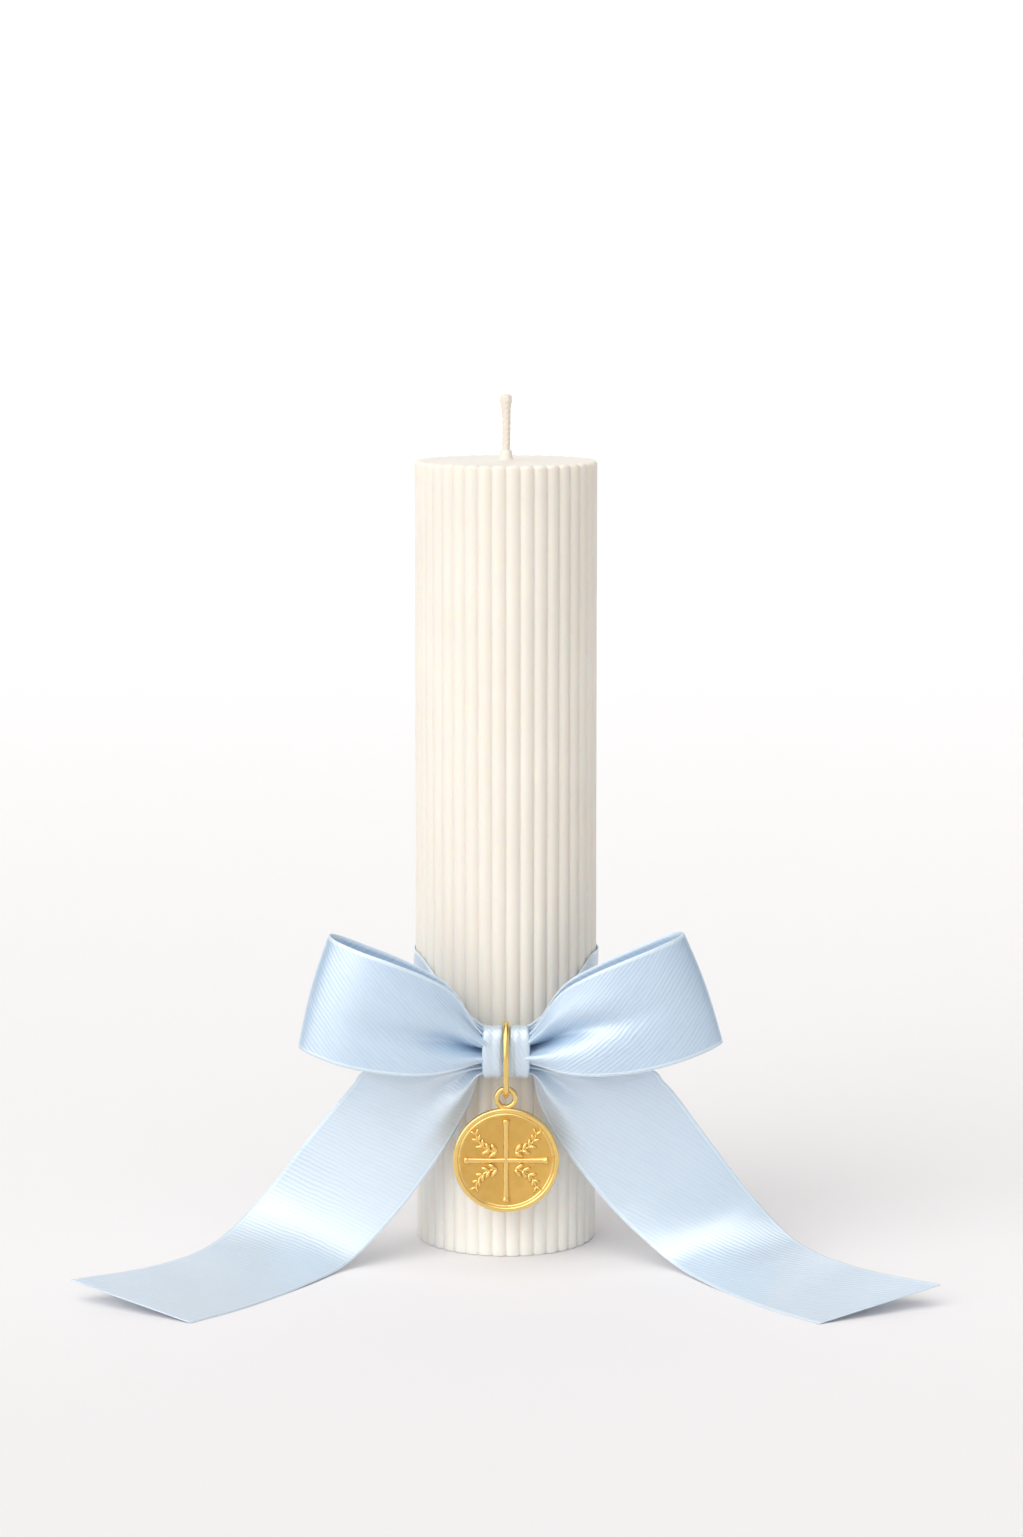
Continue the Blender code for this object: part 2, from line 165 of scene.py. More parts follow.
def arc(centre_r, centre_z, radius, start, stop, steps):
    """Points of a profile on an arc, with angles in degrees from straight out."""
    angles = [math.radians(start + (stop - start) * i / steps) for i in range(steps + 1)]
    return [(centre_r + radius * math.cos(a), centre_z + radius * math.sin(a)) for a in angles]


def reed_tree(material):
    tree, start, end = shape_tree("press_reeds", {"Reeds": "Int", "Depth": "Float", "Round": "Float"})
    place = add(tree, "GeometryNodeInputPosition").outputs[0]
    split = add(tree, "ShaderNodeSeparateXYZ", {0: place}).outputs
    turn = maths(tree, "ARCTAN2", split[0], split[1])
    share = maths(tree, "DIVIDE", turn, math.tau)
    reed = maths(
        tree, "FRACT", maths(tree, "ADD", maths(tree, "MULTIPLY", share, start.outputs["Reeds"]), REEDS),
    )
    across = maths(tree, "SUBTRACT", maths(tree, "MULTIPLY", reed, 2.0), 1.0)
    width = maths(tree, "MULTIPLY", across, start.outputs["Round"])

    def fall_at(share_of_round):
        squared = maths(tree, "MULTIPLY", share_of_round, share_of_round)
        return maths(tree, "SUBTRACT", 1.0, maths(tree, "SQRT", maths(tree, "SUBTRACT", 1.0, squared)))

    fall = maths(tree, "DIVIDE", fall_at(width), fall_at(start.outputs["Round"]))
    deep = maths(tree, "MULTIPLY", fall, start.outputs["Depth"])
    flat = add(tree, "ShaderNodeCombineXYZ", {0: split[0], 1: split[1]}).outputs[0]
    out = add(tree, "ShaderNodeVectorMath", {0: flat}, operation="NORMALIZE").outputs[0]
    radius = add(tree, "ShaderNodeVectorMath", {0: flat}, operation="LENGTH").outputs[1]
    near_wall = add(
        tree, "ShaderNodeMapRange",
        {0: radius, 1: pillar_r - RIM_ROUND - 2.5 * MM, 2: pillar_r - RIM_ROUND, 3: 0.0, 4: 1.0},
        interpolation_type="SMOOTHSTEP",
    ).outputs[0]
    waver = add(tree, "ShaderNodeTexNoise", {"Vector": place, "Scale": 22.0, "Detail": 1.0}).outputs[0]
    waver = maths(tree, "MULTIPLY", maths(tree, "SUBTRACT", waver, 0.5), 0.35 * MM)
    inward = maths(tree, "MULTIPLY", maths(tree, "SUBTRACT", waver, deep), near_wall)
    push = add(tree, "ShaderNodeVectorMath", {0: out, "Scale": inward}, operation="SCALE").outputs[0]
    near_top = add(
        tree, "ShaderNodeMapRange", {0: split[2], 1: pillar_top - 2 * RIM_ROUND, 2: pillar_top},
    ).outputs[0]
    domed = maths(
        tree, "MULTIPLY", maths(tree, "MULTIPLY", deep, near_wall),
        maths(tree, "MULTIPLY", near_top, -REED_DOME),
    )
    down = add(tree, "ShaderNodeCombineXYZ", {2: domed}).outputs[0]
    both = add(tree, "ShaderNodeVectorMath", {0: push, 1: down}, operation="ADD").outputs[0]
    moved = add(tree, "GeometryNodeSetPosition", {"Geometry": start.outputs[0], "Offset": both})
    finish_tree(tree, end, moved.outputs[0], material)
    return tree


def wax_material():
    """Translucent ivory wax: light soaks in, the cast skin is faintly mottled, and the lower wax is painted
    paler as painted light.
    """
    material, tree, shader, place = blank_material("ivory_wax")
    cloud = add(tree, "ShaderNodeTexNoise", {"Vector": place, "Scale": 30.0, "Detail": 3.0}).outputs[0]
    tone = two_tone(tree, cloud, (0.82, 0.775, 0.695), (0.85, 0.81, 0.735), 0.3, 0.7)
    # Painted light: towards the foot the wax is mixed into a paler colour, standing in for light that the bow
    # and tails keep off the lower candle.
    height = add(tree, "ShaderNodeSeparateXYZ", {0: place}).outputs[2]
    foot = add(tree, "ShaderNodeMapRange", {0: height, 1: 0.09, 2: 0.02, 3: 0.0, 4: 0.8}).outputs[0]
    foot_painted_light = add(tree, "ShaderNodeMix", {"Factor": foot, 6: tone, 7: (0.95, 0.92, 0.86, 1)}, data_type="RGBA")
    tree.links.new(foot_painted_light.outputs[2], shader.inputs["Base Color"])
    set_sockets(shader, {
        "Subsurface Weight": 0.7, "Subsurface Radius": (1.0, 0.72, 0.45), "Subsurface Scale": 2.8 * MM,
        "Roughness": 0.42, "Specular IOR Level": 0.4,
    })
    skin = add(tree, "ShaderNodeTexNoise", {"Vector": place, "Scale": 900.0, "Detail": 4.0}).outputs[0]
    dents = add(tree, "ShaderNodeTexNoise", {"Vector": place, "Scale": 120.0, "Detail": 2.0}).outputs[0]
    fine = add(tree, "ShaderNodeBump", {"Height": skin, "Strength": 0.12, "Distance": 0.05 * MM}).outputs[0]
    both = add(
        tree, "ShaderNodeBump", {"Height": dents, "Normal": fine, "Strength": 0.1, "Distance": 0.1 * MM},
    )
    tree.links.new(both.outputs[0], shader.inputs["Normal"])
    return material


wall_rows = 48
column = [(0, 0), (0.4 * pillar_r, 0), (0.8 * pillar_r, 0), (pillar_r - 2.6 * MM, 0)]
column += arc(pillar_r - FOOT_ROUND, FOOT_ROUND, FOOT_ROUND, -90, 0, 5)
wall_low, wall_high = FOOT_ROUND, pillar_top - RIM_ROUND
column += [(pillar_r, wall_low + (wall_high - wall_low) * i / wall_rows) for i in range(1, wall_rows)]
column += arc(pillar_r - RIM_ROUND, wall_high, RIM_ROUND, 0, 90, 8)
column += [
    (pillar_r - RIM_ROUND - d * MM, pillar_top - s * MM)
    for d, s in ((0.8, 0.02), (1.8, 0.08), (3.2, 0.14))
]
column += [(0.7 * pillar_r, pillar_top - 0.22 * MM), (0.4 * pillar_r, pillar_top - 0.25 * MM)]
column += [(r * MM, pillar_top + h * MM) for r, h in (
    (7, -0.22), (4.6, -0.12), (3.2, 0.06), (2.5, 0.45), (2.15, 1.1), (1.98, 2.1), (1.9, 2.9), (1.72, 3.25),
    (1.4, 3.38),
)]
column += [(0, pillar_top + 3.38 * MM)]
ivory_wax = wax_material()
pillar = grown(
    "pillar", reed_tree(ivory_wax), lathe("column", column, REEDS * 16),
    Reeds=REEDS, Depth=REED_DEPTH, Round=REED_ROUND,
)
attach(pillar, "candle")
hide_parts("candle_body")

# ---------------------------------------------------------------------------------------
# The wick: braided cotton dipped in wax, a little thicker at its cut tip. The braid is
# pressed into a tube that follows the wick, as two families of strands that cross.
wick_foot, wick_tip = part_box("wick")
WICK_R = 1.22 * MM
STRANDS = 4
BRAID_PITCH = 7 * MM
BRAID_DEPTH = 0.07 * MM
BRAID_STEP = 0.14 * MM  # between the rings of the tube
BRAID_SIDES = 48


def braid_tree(material):
    tree, start, end = shape_tree("braid", {"Strands": "Int", "Pitch": "Float", "Depth": "Float"})
    line = add(tree, "GeometryNodeMeshToCurve", {"Mesh": start.outputs[0]}).outputs[0]
    line = add(
        tree, "GeometryNodeResampleCurve", {"Curve": line, "Length": BRAID_STEP}, mode="LENGTH",
    ).outputs[0]
    length = add(tree, "GeometryNodeSplineParameter").outputs["Length"]
    kept_line = add(tree, "GeometryNodeCaptureAttribute", {"Geometry": line})
    kept_line.capture_items.new("FLOAT", "length")
    tree.links.new(length, kept_line.inputs[1])
    girth = add(tree, "GeometryNodeInputNamedAttribute", {"Name": "girth"}, data_type="FLOAT").outputs[0]
    ring = add(
        tree, "GeometryNodeCurvePrimitiveCircle", {"Resolution": BRAID_SIDES, "Radius": 1.0},
    ).outputs[0]
    kept_ring = add(tree, "GeometryNodeCaptureAttribute", {"Geometry": ring})
    kept_ring.capture_items.new("FLOAT", "turn")
    tree.links.new(add(tree, "GeometryNodeSplineParameter").outputs["Factor"], kept_ring.inputs[1])
    tube = add(tree, "GeometryNodeCurveToMesh", {
        "Curve": kept_line.outputs[0], "Profile Curve": kept_ring.outputs[0], "Scale": girth,
        "Fill Caps": True,
    })
    turn = maths(
        tree, "MULTIPLY", maths(tree, "MULTIPLY", kept_ring.outputs[1], math.tau), start.outputs["Strands"],
    )
    climb = maths(
        tree, "DIVIDE", maths(tree, "MULTIPLY", kept_line.outputs[1], math.tau), start.outputs["Pitch"],
    )
    climb = maths(tree, "MULTIPLY", climb, start.outputs["Strands"])
    one = maths(tree, "COSINE", maths(tree, "ADD", turn, climb))
    other = maths(tree, "COSINE", maths(tree, "SUBTRACT", turn, climb))
    weave = maths(tree, "MULTIPLY", maths(tree, "MAXIMUM", one, other), start.outputs["Depth"])
    out = add(tree, "GeometryNodeInputNormal").outputs[0]
    push = add(tree, "ShaderNodeVectorMath", {0: out, "Scale": weave}, operation="SCALE").outputs[0]
    moved = add(tree, "GeometryNodeSetPosition", {"Geometry": tube.outputs[0], "Offset": push})
    finish_tree(tree, end, moved.outputs[0], material)
    return tree


def cotton_material():
    """Off-white cotton under a thin coat of wax, with fibres along the strands."""
    material, tree, shader, place = blank_material("waxed_cotton")
    long = add(tree, "ShaderNodeMapping", {"Vector": place, "Scale": (1, 1, 0.15)}).outputs[0]
    fibre = add(tree, "ShaderNodeTexNoise", {"Vector": long, "Scale": 4000.0, "Detail": 3.0}).outputs[0]
    tree.links.new(two_tone(tree, fibre, (0.76, 0.70, 0.61), (0.86, 0.80, 0.71)), shader.inputs["Base Color"])
    set_sockets(shader, {
        "Roughness": 0.55, "Subsurface Weight": 0.2, "Subsurface Scale": 1.0 * MM,
    })
    hair = add(tree, "ShaderNodeBump", {"Height": fibre, "Strength": 0.5, "Distance": 0.05 * MM}).outputs[0]
    tree.links.new(hair, shader.inputs["Normal"])
    return material


wick_line = (  # from the foot up: sideways, height, and girth as a share of WICK_R
    (0, wick_foot.z, 1.0),
    (0, pillar_top, 1.0),
    (0, pillar_top + CONE_H, 1.0),
    (0.1 * MM, pillar_top + 8 * MM, 1.04),
    (0.15 * MM, pillar_top + 12 * MM, 1.06),
    (0.05 * MM, pillar_top + 15.5 * MM, 1.16),
    (0, wick_tip.z - 4.4 * MM, 1.3),
    (0, wick_tip.z - 2.4 * MM, 1.56),
    (0, wick_tip.z - 1.2 * MM, 1.58),
    (0, wick_tip.z - 0.5 * MM, 1.36),
    (0, wick_tip.z - 0.15 * MM, 0.9),
    (0, wick_tip.z, 0.25),
)
wick_seed = bpy.data.meshes.new("wick_line")
wick_seed.from_pydata(
    [(x, 0, z) for x, z, _ in wick_line], [(i, i + 1) for i in range(len(wick_line) - 1)], [],
)
wick_girth = wick_seed.attributes.new("girth", "FLOAT", "POINT")
wick_girth.data.foreach_set("value", [girth * WICK_R for *_, girth in wick_line])
braided_wick = grown(
    "braided_wick", braid_tree(cotton_material()), wick_seed,
    Strands=STRANDS, Pitch=BRAID_PITCH, Depth=BRAID_DEPTH,
)
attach(braided_wick, "candle")
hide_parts("wick")

# ---------------------------------------------------------------------------------------
# The wick tab: a tinned steel disc with a neck, set in the wax out of sight. Its own solid
# is right as it is, and takes a bright, faintly spun finish.


def steel_material():
    material, tree, shader, place = blank_material("tinned_steel")
    spun = add(
        tree, "ShaderNodeTexWave", {"Vector": place, "Scale": 900.0, "Distortion": 2.0}, wave_type="RINGS",
        rings_direction="Z",
    ).outputs[1]
    rough = add(tree, "ShaderNodeMapRange", {0: spun, 3: 0.25, 4: 0.42}).outputs[0]
    shader.inputs["Base Color"].default_value = (0.62, 0.62, 0.6, 1)
    shader.inputs["Metallic"].default_value = 1.0
    tree.links.new(rough, shader.inputs["Roughness"])
    return material


tab_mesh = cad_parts["wick_tab"].data
tab_mesh.materials.clear()
tab_mesh.materials.append(steel_material())

# ---------------------------------------------------------------------------------------
# The turn of ribbon round the candle: baby-blue satin 38 mm wide with a woven selvedge,
# pulled tight over the reeds and gathered at the front, where it runs into the knot.
RIBBON_W = 38 * MM
RIBBON_T = 0.32 * MM
SELVEDGE = 1.15 * MM
EDGE_CORD_R = 0.17 * MM
STITCH_PITCH = 0.95 * MM
# Painted light: this paler blue is mixed into the knot's and the tails' satin to stand in for the light that
# falls on them.
PAINTED_LIGHT_BLUE = Vector((0.78, 0.83, 0.88))  # mixed into the knot's and the tails' satin
knot_low, knot_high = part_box("bow_knot")
knot_mid = (knot_low + knot_high) / 2
knot_half = (knot_high - knot_low) / 2
band_low, band_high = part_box("ribbon_band")
BAND_SWEEP = math.radians(75)  # from the front, where the band reaches its full width
BAND_GATHERED = 0.54  # half its width at the knot, as a share of half the knot's height
BAND_CLEAR = 0.55 * MM  # from the crests of the reeds to the middle of the cloth


def satin_material(name, slant_degrees, painted_lightness):
    """Baby-blue satin: long floats that shine along the weave, fine slanting ribs, a duller selvedge, and a
    paler blue mixed in by a given share as painted light.
    """
    material, tree, shader, place = blank_material(name)
    cloth = add(tree, "ShaderNodeUVMap", uv_map="weave").outputs[0]
    slant = add(
        tree, "ShaderNodeMapping", {"Vector": cloth, "Rotation": (0, 0, math.radians(90 - slant_degrees))},
    ).outputs[0]
    wave = add(tree, "ShaderNodeTexWave", {
        "Vector": slant, "Scale": 230.0, "Distortion": 5.0, "Detail": 2.0, "Detail Scale": 0.35,
    }).outputs[1]
    drawn = add(tree, "ShaderNodeMapping", {"Vector": slant, "Scale": (1, 0.13, 1)}).outputs[0]
    streak = add(tree, "ShaderNodeTexNoise", {"Vector": drawn, "Scale": 760.0, "Detail": 3.0}).outputs[0]
    ribs = maths(tree, "ADD", maths(tree, "MULTIPLY", wave, 0.35), maths(tree, "MULTIPLY", streak, 0.65))
    floats = add(tree, "ShaderNodeMapping", {"Vector": cloth, "Scale": (1, 14, 1)}).outputs[0]
    thread = add(tree, "ShaderNodeTexNoise", {"Vector": floats, "Scale": 900.0, "Detail": 3.0}).outputs[0]
    cloud = add(tree, "ShaderNodeTexNoise", {"Vector": place, "Scale": 45.0, "Detail": 2.0}).outputs[0]
    across = add(tree, "ShaderNodeSeparateXYZ", {0: cloth}).outputs[1]
    from_edge = maths(tree, "MINIMUM", across, maths(tree, "SUBTRACT", RIBBON_W, across))
    selvedge = add(
        tree, "ShaderNodeMapRange",
        {0: from_edge, 1: 0.8 * SELVEDGE, 2: 1.1 * SELVEDGE, 3: 1.0, 4: 0.0},
    ).outputs[0]
    tint = maths(tree, "ADD", maths(tree, "MULTIPLY", ribs, 0.75), maths(tree, "MULTIPLY", cloud, 0.25))
    # Painted light: the blue is lightened towards the paler blue by the share given for this piece.
    low, high = (Vector(blue).lerp(PAINTED_LIGHT_BLUE, painted_lightness) for blue in ((0.35, 0.51, 0.70), (0.50, 0.655, 0.81)))
    body = two_tone(tree, tint, low, high, 0.15, 0.85)
    paint = add(
        tree, "ShaderNodeMix", {"Factor": selvedge, 6: body, 7: (0.62, 0.755, 0.88, 1)}, data_type="RGBA",
    )
    off_seam = maths(tree, "ABSOLUTE", maths(tree, "SUBTRACT", from_edge, 1.2 * SELVEDGE))
    seam = add(
        tree, "ShaderNodeMapRange", {0: off_seam, 1: 0.0, 2: 0.22 * SELVEDGE, 3: 0.35, 4: 0.0},
    ).outputs[0]
    ruled = add(
        tree, "ShaderNodeMix", {"Factor": seam, 6: paint.outputs[2], 7: (0.30, 0.46, 0.66, 1)},
        data_type="RGBA",
    )
    tree.links.new(ruled.outputs[2], shader.inputs["Base Color"])
    rough = add(tree, "ShaderNodeMapRange", {0: selvedge, 3: 0.44, 4: 0.55}).outputs[0]
    tree.links.new(rough, shader.inputs["Roughness"])
    set_sockets(shader, {
        "Metallic": 0.05, "Anisotropic": 0.7, "Anisotropic Rotation": 0.25, "IOR": 2.3,
        "Specular IOR Level": 0.9, "Coat Weight": 0.5, "Coat IOR": 1.7, "Coat Roughness": 0.3,
        "Subsurface Weight": 0.35, "Subsurface Radius": (0.5, 0.75, 1.0), "Subsurface Scale": 0.8 * MM,
        "Sheen Weight": 0.2, "Sheen Roughness": 0.4,
    })
    tree.links.new(
        add(tree, "ShaderNodeTangent", direction_type="UV_MAP", uv_map="weave").outputs[0],
        shader.inputs["Tangent"],
    )
    fine = add(tree, "ShaderNodeBump", {"Height": thread, "Strength": 0.15, "Distance": 0.04 * MM}).outputs[0]
    relief = add(
        tree, "ShaderNodeBump", {"Height": ribs, "Normal": fine, "Strength": 0.9, "Distance": 0.2 * MM},
    )
    tree.links.new(relief.outputs[0], shader.inputs["Normal"])
    return material


def thread_material():
    """The paler, duller yarn of the selvedge."""
    material, tree, shader, place = blank_material("selvedge_thread")
    fibre = add(tree, "ShaderNodeTexNoise", {"Vector": place, "Scale": 3000.0, "Detail": 2.0}).outputs[0]
    tree.links.new(two_tone(tree, fibre, (0.70, 0.80, 0.91), (0.82, 0.89, 0.96)), shader.inputs["Base Color"])
    shader.inputs["Roughness"].default_value = 0.6
    bump = add(tree, "ShaderNodeBump", {"Height": fibre, "Strength": 0.3, "Distance": 0.05 * MM}).outputs[0]
    tree.links.new(bump, shader.inputs["Normal"])
    return material


def edge_cord_tree(material):
    """A fine cord along a line: the turned edge of the ribbon."""
    tree, start, end = shape_tree("edge_cord", {"Radius": "Float"})
    line = add(tree, "GeometryNodeMeshToCurve", {"Mesh": start.outputs[0]}).outputs[0]
    ring = add(
        tree, "GeometryNodeCurvePrimitiveCircle", {"Resolution": 6, "Radius": start.outputs["Radius"]},
    ).outputs[0]
    cord = add(tree, "GeometryNodeCurveToMesh", {"Curve": line, "Profile Curve": ring, "Fill Caps": True})
    finish_tree(tree, end, cord.outputs[0], material)
    return tree


def stitch_tree(material):
    """Short yarn loops at an even pitch along a line, each lying along it and flat on the cloth."""
    tree, start, end = shape_tree("stitches", {"Pitch": "Float", "Size": "Float"})
    line = add(tree, "GeometryNodeMeshToCurve", {"Mesh": start.outputs[0]}).outputs[0]
    spaced = add(
        tree, "GeometryNodeResampleCurve", {"Curve": line, "Length": start.outputs["Pitch"]}, mode="LENGTH",
    ).outputs[0]
    loop = add(
        tree, "GeometryNodeMeshUVSphere", {"Segments": 8, "Rings": 5, "Radius": start.outputs["Size"]},
    ).outputs[0]
    long = add(tree, "GeometryNodeTransform", {"Geometry": loop, "Scale": (1.0, 0.38, 0.5)}).outputs[0]
    run = add(tree, "GeometryNodeInputTangent").outputs[0]
    up = add(tree, "GeometryNodeInputNamedAttribute", {"Name": "up"}, data_type="FLOAT_VECTOR").outputs[0]
    along = add(tree, "FunctionNodeAlignRotationToVector", {"Vector": run}, axis="X").outputs[0]
    flat = add(
        tree, "FunctionNodeAlignRotationToVector", {"Rotation": along, "Vector": up}, axis="Z",
        pivot_axis="X",
    ).outputs[0]
    put = add(
        tree, "GeometryNodeInstanceOnPoints", {"Points": spaced, "Instance": long, "Rotation": flat},
    ).outputs[0]
    finish_tree(tree, end, put, material)
    return tree


def smooth_path(rows, per_span):
    """Points on a Catmull-Rom curve through rows of places, an array of any number of edges."""
    rows = np.array(rows, float)
    path = np.concatenate([[2 * rows[0] - rows[1]], rows, [2 * rows[-1] - rows[-2]]])
    t = np.linspace(0, 1, per_span, endpoint=False).reshape(-1, *[1] * (rows.ndim - 1))
    spans = [
        0.5 * (2 * b + (c - a) * t + (2 * a - 5 * b + 4 * c - d) * t**2 + (3 * b - 3 * c + d - a) * t**3)
        for a, b, c, d in zip(path, path[1:], path[2:], path[3:])
    ]
    return np.concatenate([*spans, rows[-1:]])


def even_edges(rows, count):
    """Both edges of a stretch of ribbon at even steps, and how far along each step is."""
    path = smooth_path(rows, 40)
    middle = path.mean(axis=1)
    along = np.concatenate([[0], np.cumsum(np.linalg.norm(np.diff(middle, axis=0), axis=1))])
    even = np.linspace(0, along[-1], count)
    flat = path.reshape(len(path), -1)
    edges = np.stack([np.interp(even, along, flat[:, k]) for k in range(flat.shape[1])], axis=1)
    return edges.reshape(count, 2, 3), even


def surface_normals(grid):
    lengthwise = np.gradient(grid, axis=0)
    crosswise = np.gradient(grid, axis=1)
    normal = np.cross(lengthwise, crosswise)
    return normal / np.maximum(np.linalg.norm(normal, axis=2, keepdims=True), 1e-12)


def fold_relief(distance, share, folds):
    """How far pleats lift the cloth: each fold is a ridge at a share of the width that dies away."""
    lift = np.zeros((len(distance), len(share)))
    for middle, width, height, reach in folds:
        across = np.exp(-(((share - middle) / width) ** 2))
        run = distance / (reach * MM)
        lift += height * MM * np.outer(np.exp(-(run**1.3)) * np.maximum(1 - (run / 1.7) ** 2, 0), across)
    return lift


def line_mesh(name, points, ups):
    mesh = bpy.data.meshes.new(name)
    mesh.from_pydata([tuple(p) for p in points], [(i, i + 1) for i in range(len(points) - 1)], [])
    up = mesh.attributes.new("up", "FLOAT_VECTOR", "POINT")
    up.data.foreach_set("vector", np.asarray(ups, np.float32).ravel())
    return mesh


def cloth_mesh(name, grid, along, material):
    """The ribbon's woven sheet from a grid of points, with its thickness and its map of metres."""
    rows, columns, _ = grid.shape
    bm = bmesh.new()
    weave = bm.loops.layers.uv.new("weave")
    verts = [[bm.verts.new(point) for point in row] for row in grid]
    width = np.linspace(0, RIBBON_W, columns)
    for i in range(rows - 1):
        for k in range(columns - 1):
            corners = ((i, k), (i, k + 1), (i + 1, k + 1), (i + 1, k))
            face = bm.faces.new([verts[a][b] for a, b in corners])
            for loop, (a, b) in zip(face.loops, corners):
                loop[weave].uv = (along[a], width[b])
    mesh = bpy.data.meshes.new(name)
    bm.to_mesh(mesh)
    bm.free()
    mesh.materials.append(material)
    mesh.shade_smooth()
    sheet = placed(name, mesh)
    wall = sheet.modifiers.new("Wall", "SOLIDIFY")
    wall.thickness = RIBBON_T
    wall.offset = 0
    wall.use_even_offset = False
    bpy.context.view_layer.update()
    graph = bpy.context.evaluated_depsgraph_get()
    thick = bpy.data.meshes.new_from_object(sheet.evaluated_get(graph), depsgraph=graph)
    sheet.modifiers.clear()
    sheet.data = thick
    return sheet


blue_satin = satin_material("blue_satin", 38, 0.0)
# The knot's satin carries painted light: a quarter of the paler blue.
painted_light_satin = satin_material("painted_light_satin", 38, 0.25)
selvedge_thread = thread_material()
edge_cord = edge_cord_tree(selvedge_thread)
stitches = stitch_tree(selvedge_thread)


def satin_piece(name, grid, along, node, satin=blue_satin):
    """A stretch of ribbon with its corded, stitched selvedges, on the ribbon's body."""
    sheet = cloth_mesh(name, grid, along, satin)
    normals = surface_normals(grid)
    columns = grid.shape[1]
    inset = max(1, round(SELVEDGE / RIBBON_W * (columns - 1)))
    trims = []
    for side, edge, inner in (("first", 0, inset), ("second", columns - 1, columns - 1 - inset)):
        cord = grown(
            f"{name}_{side}_cord", edge_cord, line_mesh("line", grid[:, edge], normals[:, edge]),
            Radius=EDGE_CORD_R,
        )
        row = grown(
            f"{name}_{side}_stitches", stitches, line_mesh("line", grid[:, inner], normals[:, inner]),
            Pitch=STITCH_PITCH, Size=0.36 * MM,
        )
        trims += [cord, row]
    for piece in (sheet, *trims):
        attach(piece, "ribbon")
    if node:
        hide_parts(node)


def band_grid(count, columns):
    """The turn round the candle, from the knot round the back to the knot again."""
    turn = np.linspace(0, math.tau, count)
    from_front = np.minimum(turn, math.tau - turn)
    t = np.clip(from_front / BAND_SWEEP, 0, 1)
    spread = t * t * (3 - 2 * t)
    gathered = BAND_GATHERED * knot_half.z
    top = knot_mid.z + gathered + spread * (band_high.z - knot_mid.z - gathered)
    foot = knot_mid.z - gathered + spread * (band_low.z - knot_mid.z + gathered)
    share = np.linspace(0, 1, columns)
    height = top[:, None] * (1 - share) + foot[:, None] * share
    pleats = 0.35 * MM * np.outer((1 - t) ** 1.5, np.sin(share * math.tau * 3.5))
    slack = 0.12 * MM * np.sin(turn[:, None] * 9 + 14 * share) * spread[:, None]
    radius = pillar_r + BAND_CLEAR + pleats + slack
    angle = turn[:, None]
    return np.stack([radius * np.sin(angle), -radius * np.cos(angle), height], axis=2)


band_round = band_grid(260, 40)
band_along = np.linspace(0, math.tau * pillar_r, len(band_round))
satin_piece("satin_band", band_round, band_along, "ribbon_band")

# ---------------------------------------------------------------------------------------
# The loops of the bow: the same satin, doubled back on itself and pinched at the knot, so
# its pleats open into one full, round loop on each side.

# Each row gives the ribbon's upper edge, then its lower edge, in mm: outwards from the side
# of the knot, forwards and upwards from its middle, from its back out to the fold and back.
LEFT_LOOP = (
    ((-4, -2, 6), (-4, -2, -3)),
    ((1, -2.8, 8.5), (1, -2.8, -3.5)),
    ((10, -6, 20.5), (10, -6, -7)),
    ((23, -7, 28), (24, -7, -7)),
    ((36, -6.5, 33.5), (40, -7, -6)),
    ((45, -4.8, 37.2), (53, -5, -2)),
    ((48.3, -1, 38.3), (58.3, -1, 1.5)),
    ((46, 3.5, 37), (55, 4, 0.2)),
    ((38, 8, 34.3), (44, 8.5, -3)),
    ((28, 10, 31), (32, 10, -5)),
    ((17.5, 9, 26.5), (20, 9.5, -6)),
    ((8.5, 6, 20.5), (10, 7, -5.3)),
    ((1, 3.4, 9), (1.2, 3.6, -3.2)),
    ((-4, 2, 3.5), (-4, 2, -2.4)),
)
RIGHT_LOOP = (
    ((-4, -2, 6), (-4, -2, -3)),
    ((1, -2.8, 8.5), (1, -2.8, -3.5)),
    ((10, -6, 20.5), (10, -6, -7)),
    ((22, -7, 27.5), (24, -7, -7)),
    ((36, -6.5, 34), (40, -7, -5)),
    ((45, -4.8, 38), (55, -5, 0)),
    ((48.6, -1, 39), (61.3, -1, 3)),
    ((46, 3.5, 37.8), (57, 4, 1.3)),
    ((38, 8, 35), (46, 8.5, -2)),
    ((28, 10, 31.2), (33, 10, -4.8)),
    ((17.5, 9, 26.3), (20, 9.5, -6)),
    ((8.5, 6, 20), (10, 7, -5.6)),
    ((1, 3.4, 9), (1.2, 3.6, -3.6)),
    ((-4, 2, 3.5), (-4, 2, -2.6)),
)
# Share of the width, width and height of each pleat, and how far from the knot it reaches.
LOOP_BACK_FOLDS = ((0.3, 0.14, 1.0, 20), (0.6, 0.12, 3.0, 20))
LEFT_LOOP_FOLDS = (
    (0.1, 0.05, -1.6, 7), (0.22, 0.04, 1.0, 10), (0.34, 0.17, 2.2, 30), (0.44, 0.035, -1.2, 10),
    (0.63, 0.105, -7.2, 30), (0.79, 0.035, -1.2, 11), (0.86, 0.12, 2.0, 22),
)
RIGHT_LOOP_FOLDS = (
    (0.1, 0.05, -1.4, 7), (0.2, 0.04, -1.0, 10), (0.27, 0.14, 2.0, 26), (0.37, 0.035, -1.1, 10),
    (0.52, 0.11, -8.0, 33), (0.7, 0.035, -1.2, 12), (0.8, 0.15, 2.4, 28),
)


def beside_knot(rows, side):
    """Rows in mm beside the knot as places in the frame, on one side of it."""
    places = np.array(rows, float) * MM
    out, forward, up = places[..., 0], places[..., 1], places[..., 2]
    return np.stack(
        [side * (knot_half.x + 0.3 * MM + out), knot_mid.y - forward, knot_mid.z + up], axis=2
    )


